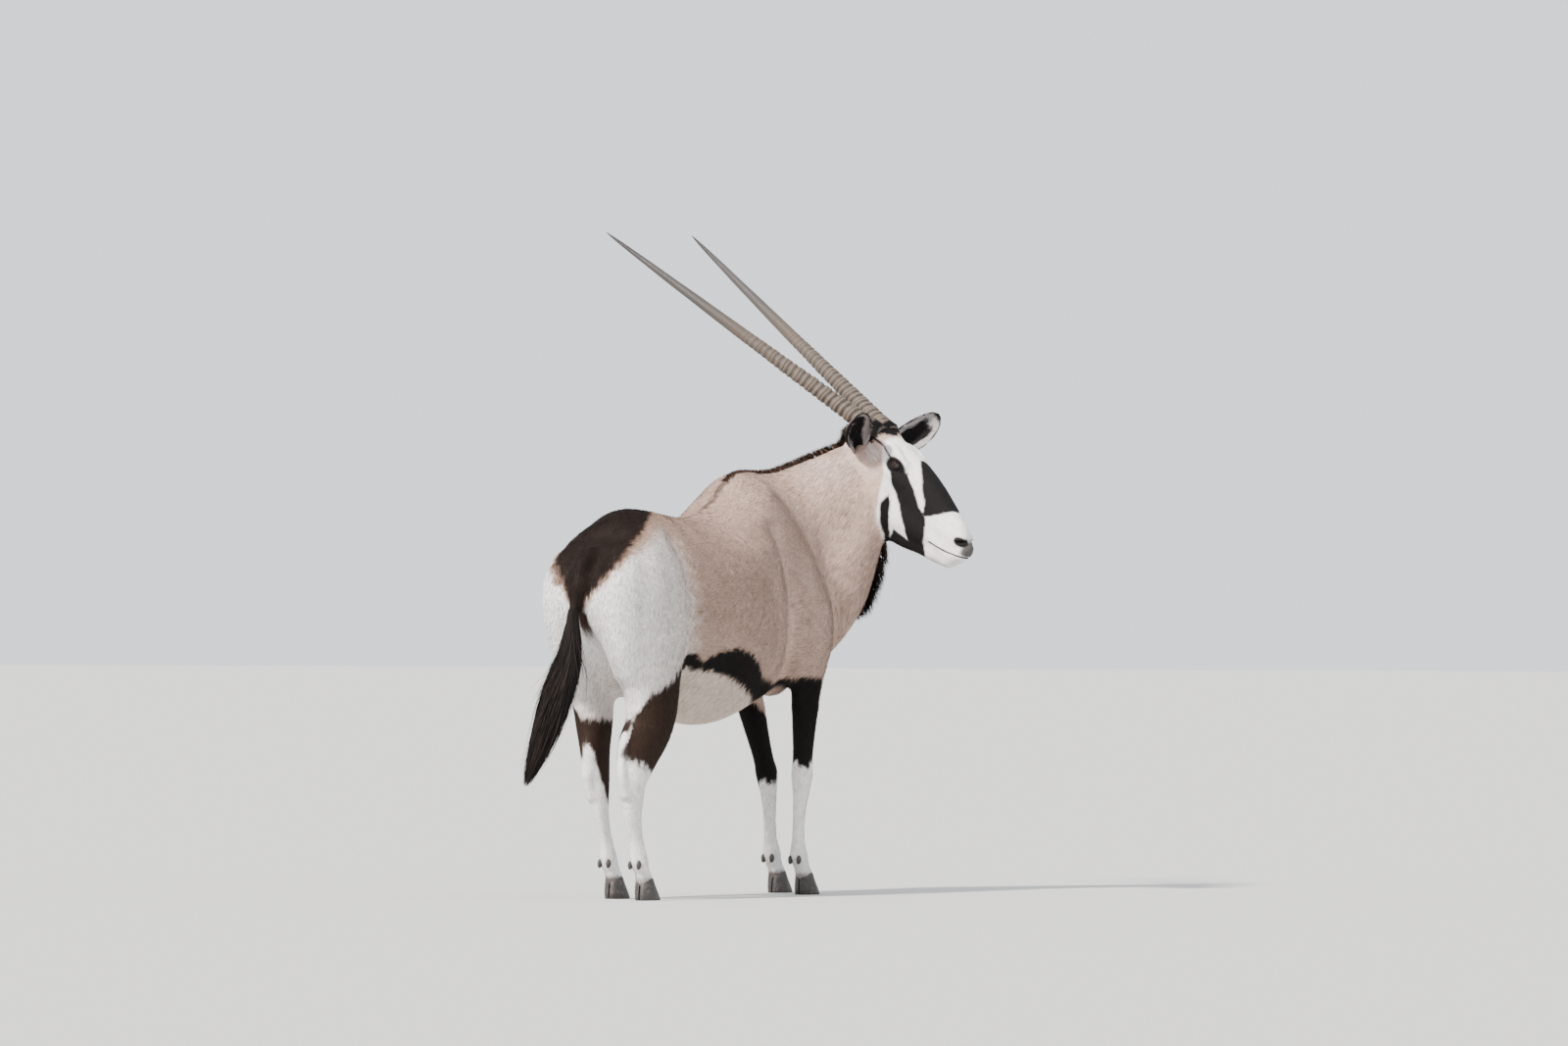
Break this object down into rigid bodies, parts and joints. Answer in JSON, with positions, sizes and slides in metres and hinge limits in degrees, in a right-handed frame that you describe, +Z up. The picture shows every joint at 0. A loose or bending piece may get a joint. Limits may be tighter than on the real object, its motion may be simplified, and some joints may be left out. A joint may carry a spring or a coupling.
{
  "type": "gemsbok",
  "caption": "Standing gemsbok antelope, still and life-size: body, neck, turned head, long ringed horns, ears, eyes, four legs with cloven hooves and a tufted tail.",
  "frame": {"origin": "on the floor, below the centre of the whole animal's box", "axes": "+X forward along the trunk, +Y to the animal's left, +Z up"},
  "size_m": [1.6114, 1.1244, 1.9531],
  "materials": {
    "coat": "short fur, fawn grey with black and white markings",
    "long_hair": "long coarse black hair",
    "horn": "horn, ringed and matt below, smoother towards the tip",
    "hoof": "dull dark horn",
    "eye": "wet and glossy"
  },
  "bodies": {
    "root": {"torso": "coat", "neck": "coat", "forearm_left": "coat", "thigh_left": "coat", "gaskin_left": "coat", "fore_cannon_left": "coat", "hind_cannon_left": "coat", "fore_claw_left_outer": "hoof", "fore_claw_left_inner": "hoof", "hind_claw_left_outer": "hoof", "hind_claw_left_inner": "hoof", "forearm_right": "coat", "thigh_right": "coat", "gaskin_right": "coat", "fore_cannon_right": "coat", "hind_cannon_right": "coat", "fore_claw_right_outer": "hoof", "fore_claw_right_inner": "hoof", "hind_claw_right_outer": "hoof", "hind_claw_right_inner": "hoof", "head": "coat", "eye_left": "eye", "eye_right": "eye", "horn_left": "horn", "horn_right": "horn", "ear_left": "coat", "ear_right": "coat", "tail_dock": "coat", "tail_tuft": "long_hair"}
  },
  "joints": []
}
